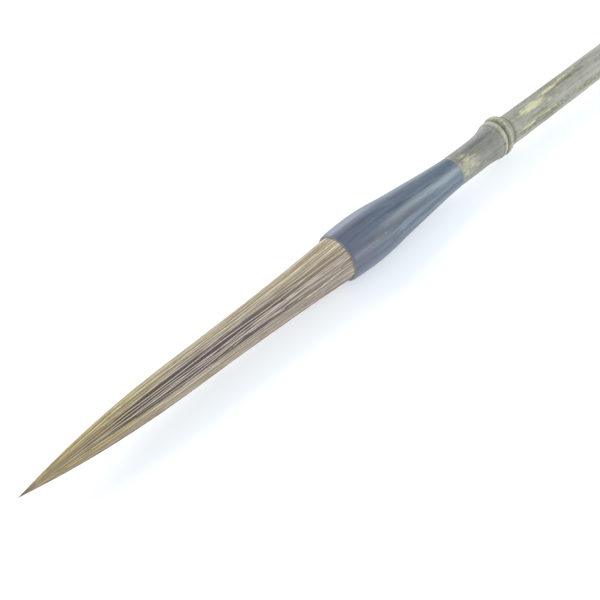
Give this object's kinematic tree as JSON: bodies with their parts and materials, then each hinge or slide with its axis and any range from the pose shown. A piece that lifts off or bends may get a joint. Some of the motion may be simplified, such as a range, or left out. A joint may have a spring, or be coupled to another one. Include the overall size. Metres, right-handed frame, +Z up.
{
  "type": "calligraphy brush",
  "caption": "Calligraphy brush: a long pointed tuft of stiff hair in a turned horn ferrule, a ridged bamboo handle and a tail cap bored for a hanging loop.",
  "frame": {"origin": "on the surface that the brush lies on, under the middle of its length and under its axis", "axes": "+X along the brush's axis towards the tail, with the tuft's point at -X; +Z up from the surface"},
  "size_m": [0.357, 0.0178, 0.0178],
  "materials": {
    "bamboo": "satin, mottled and scuffed",
    "dowel": "matt",
    "horn": "polished",
    "resin": "clear amber",
    "rosin": "brown",
    "thread": "matt",
    "cover_hair": "satin strands",
    "inner_hair": "satin strands"
  },
  "bodies": {
    "handle": {"bamboo_handle": "bamboo", "ferrule_dowel": "dowel", "horn_ferrule": "horn", "cup_resin": "resin", "root_seal": "rosin", "root_thread": "thread", "hair_root": "inner_hair", "waist_hairs": "inner_hair", "core_hairs_belly": "inner_hair", "cover_hairs_belly": "cover_hair", "tail_cap": "horn"},
    "tuft_point": {"core_hairs_point": "inner_hair", "cover_hairs_point": "cover_hair"}
  },
  "joints": [
    {"name": "tuft_bend", "type": "hinge", "parent": "handle", "child": "tuft_point", "pos_m": [-0.11, 0, 0.0089], "axis": [0, 0, 1], "range_deg": [-35, 35], "stiffness_Nm_per_rad": 0.06}
  ]
}
